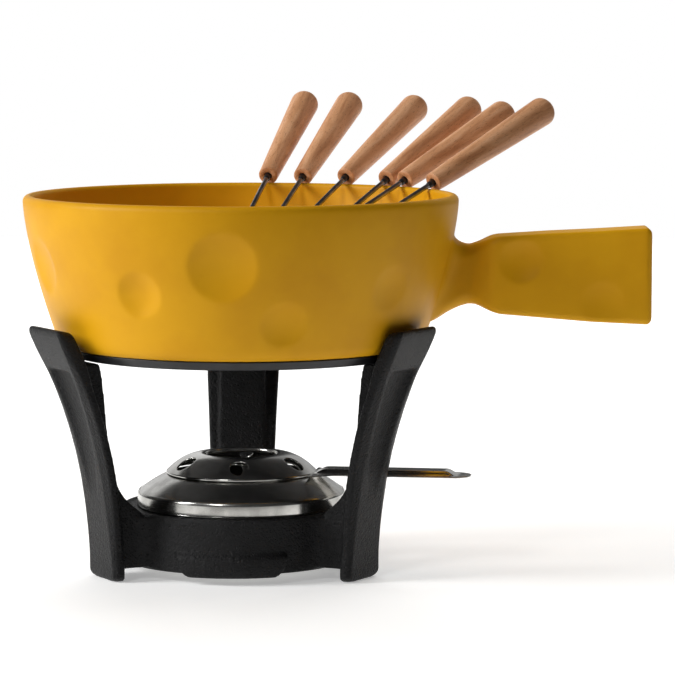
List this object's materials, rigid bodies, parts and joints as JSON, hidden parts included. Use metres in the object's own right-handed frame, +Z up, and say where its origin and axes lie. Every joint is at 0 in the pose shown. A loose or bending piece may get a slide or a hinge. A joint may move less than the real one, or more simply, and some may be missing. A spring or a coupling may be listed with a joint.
{
  "type": "fondue pot set",
  "caption": "Stoneware fondue pot with a side handle on a three-legged cast iron stand, with a spirit burner under it and long forks resting in it.",
  "frame": {"origin": "on the stand's axis, at the table it stands on", "axes": "+X along the pot's handle, +Z up, +Y towards the back leg"},
  "size_m": [0.3149, 0.2996, 0.2359],
  "materials": {
    "yellow_glaze": "satin",
    "black_base": "satin",
    "cast_iron": "matte",
    "burner_steel": "polished",
    "gauze_steel": "satin",
    "porous_ceramic": "matte",
    "rod_steel": "polished",
    "ferrule_black": "satin",
    "beech": "satin"
  },
  "bodies": {
    "stand": {"cradle_ring": "cast_iron", "leg_left": "cast_iron", "leg_right": "cast_iron", "leg_back": "cast_iron"},
    "pot": {"pot_bowl": "yellow_glaze", "pot_base": "black_base"},
    "burner": {"fuel_dish": "burner_steel", "ceramic_core": "porous_ceramic", "wire_gauze": "gauze_steel"},
    "burner_lid": {"burner_cover": "burner_steel", "vent_collar": "burner_steel"},
    "regulator": {"regulator": "burner_steel"},
    "fork_1": {"fork_1_tines": "rod_steel", "fork_1_ferrule": "ferrule_black", "fork_1_handle": "beech"},
    "fork_2": {"fork_2_tines": "rod_steel", "fork_2_ferrule": "ferrule_black", "fork_2_handle": "beech"},
    "fork_3": {"fork_3_tines": "rod_steel", "fork_3_ferrule": "ferrule_black", "fork_3_handle": "beech"},
    "fork_4": {"fork_4_tines": "rod_steel", "fork_4_ferrule": "ferrule_black", "fork_4_handle": "beech"},
    "fork_5": {"fork_5_tines": "rod_steel", "fork_5_ferrule": "ferrule_black", "fork_5_handle": "beech"},
    "fork_6": {"fork_6_tines": "rod_steel", "fork_6_ferrule": "ferrule_black", "fork_6_handle": "beech"}
  },
  "joints": [
    {"name": "pot_lift", "type": "slide", "parent": "stand", "child": "pot", "axis": [0, 0, 1], "range_m": [0, 0.15]},
    {"name": "burner_lift", "type": "slide", "parent": "stand", "child": "burner", "axis": [0, 0, 1], "range_m": [0, 0.04]},
    {"name": "lid_lift", "type": "slide", "parent": "burner", "child": "burner_lid", "axis": [0, 0, 1], "range_m": [0, 0.04]},
    {"name": "regulator_turn", "type": "hinge", "parent": "burner_lid", "child": "regulator", "pos_m": [0.0026, 0, 0.0585], "axis": [0, 0, 1], "range_deg": [0, 30]},
    {"name": "fork_1_pull", "type": "slide", "parent": "pot", "child": "fork_1", "axis": [0.2033, 0.8877, 0.4131], "range_m": [0, 0.1]},
    {"name": "fork_2_pull", "type": "slide", "parent": "pot", "child": "fork_2", "axis": [0.2741, 0.8692, 0.4115], "range_m": [0, 0.1]},
    {"name": "fork_3_pull", "type": "slide", "parent": "pot", "child": "fork_3", "axis": [0.423, 0.816, 0.3939], "range_m": [0, 0.1]},
    {"name": "fork_4_pull", "type": "slide", "parent": "pot", "child": "fork_4", "axis": [0.5109, 0.7632, 0.3955], "range_m": [0, 0.1]},
    {"name": "fork_5_pull", "type": "slide", "parent": "pot", "child": "fork_5", "axis": [0.6075, 0.7038, 0.3681], "range_m": [0, 0.1]},
    {"name": "fork_6_pull", "type": "slide", "parent": "pot", "child": "fork_6", "axis": [0.6696, 0.6266, 0.3987], "range_m": [0, 0.1]}
  ]
}
